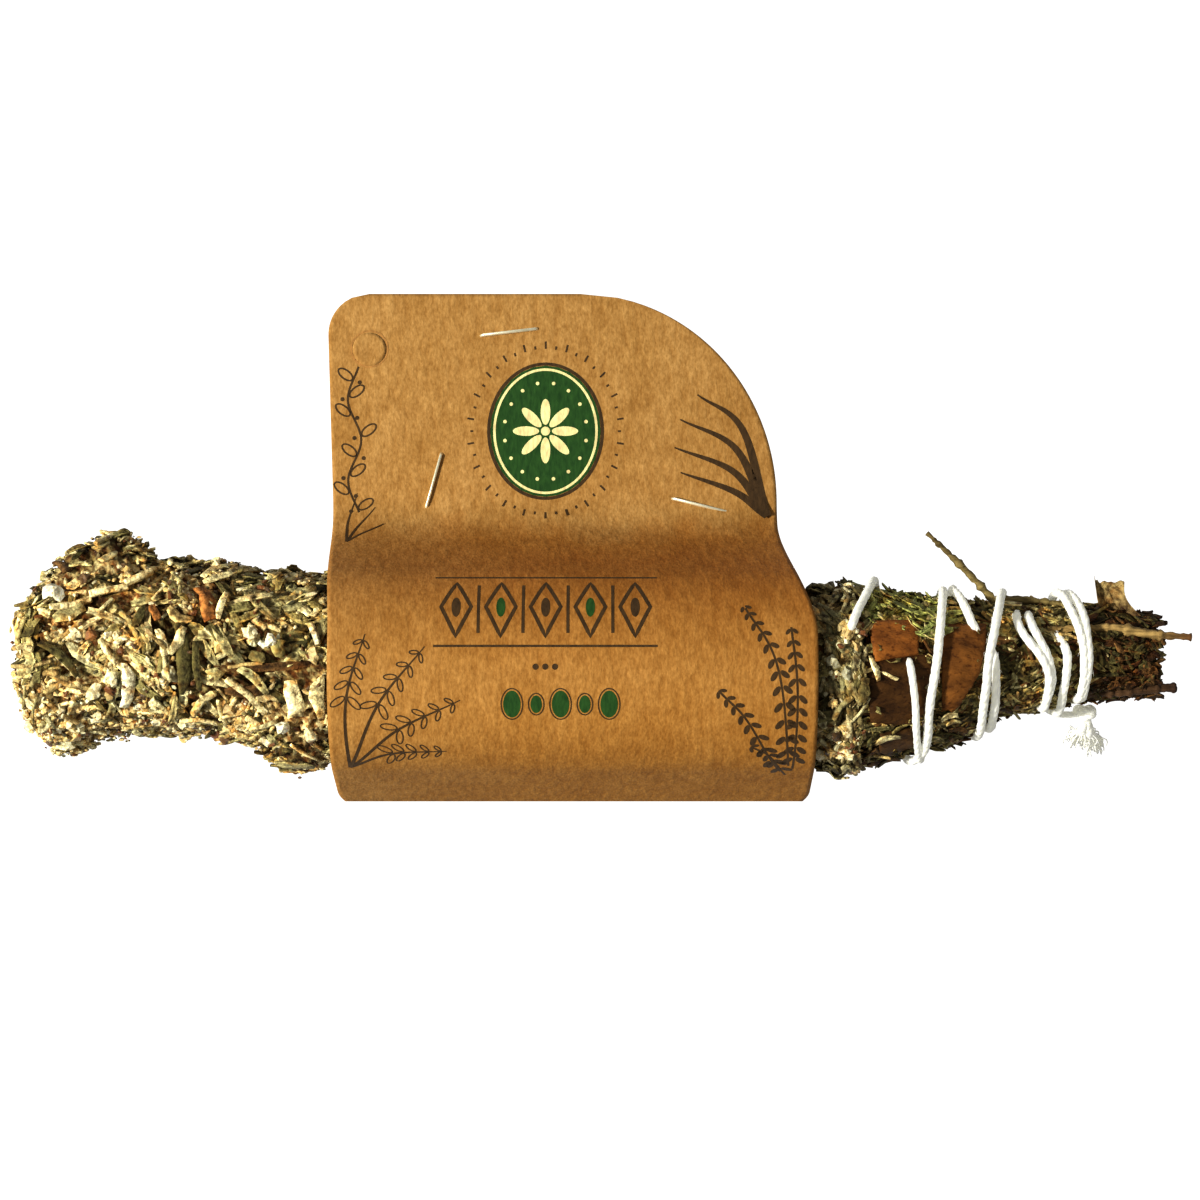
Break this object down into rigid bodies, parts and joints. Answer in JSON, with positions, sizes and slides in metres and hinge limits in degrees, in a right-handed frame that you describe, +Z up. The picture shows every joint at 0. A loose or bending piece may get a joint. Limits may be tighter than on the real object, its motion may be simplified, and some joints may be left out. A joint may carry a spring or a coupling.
{
  "type": "sage smudge stick",
  "caption": "Dried sage bundle for smudging: crumbled herb and resin crust on tied stems, with a string-wound handle and a folded kraft card stapled round it.",
  "frame": {"origin": "middle of the flat spot of the card's underside that the stick rests on", "axes": "+X along the stick towards the string-tied handle, +Y towards the card's header, +Z up from the surface it lies on"},
  "size_m": [0.1982, 0.0884, 0.0366],
  "materials": {
    "crumbled_herb": "crumbled dried herb and pale resin, matte",
    "sage_leaf": "dried leaves, matte",
    "dry_stem": "dried stalks, matte",
    "twig": "rough dry twig",
    "dry_leaf": "papery dried leaf",
    "bark": "smooth reddish bark",
    "cotton": "twisted cotton yarn",
    "kraft": null,
    "staple_steel": "bright staple wire"
  },
  "bodies": {
    "root": {"herb_crust": "crumbled_herb", "handle_leaves": "sage_leaf", "cotton_string": "cotton", "string_knot": "cotton", "kraft_card": "kraft", "leaf_curl": "dry_leaf", "twig_spur": "twig", "twig_end": "twig", "twig_low": "twig", "bark_chip_left": "bark", "bark_chip_mid": "bark", "bark_chip_right": "bark", "bark_chip_low": "bark", "staple_1": "staple_steel", "staple_2": "staple_steel", "staple_3": "staple_steel", "stem_01": "dry_stem", "stem_02": "dry_stem", "stem_03": "dry_stem", "stem_04": "dry_stem", "stem_05": "dry_stem", "stem_06": "dry_stem", "stem_07": "dry_stem", "stem_08": "dry_stem", "stem_09": "dry_stem", "stem_10": "dry_stem", "stem_11": "dry_stem", "stem_12": "dry_stem", "stem_13": "dry_stem", "stem_14": "dry_stem", "stem_15": "dry_stem", "stem_16": "dry_stem", "stem_17": "dry_stem", "stem_18": "dry_stem", "stem_19": "dry_stem"}
  },
  "joints": []
}
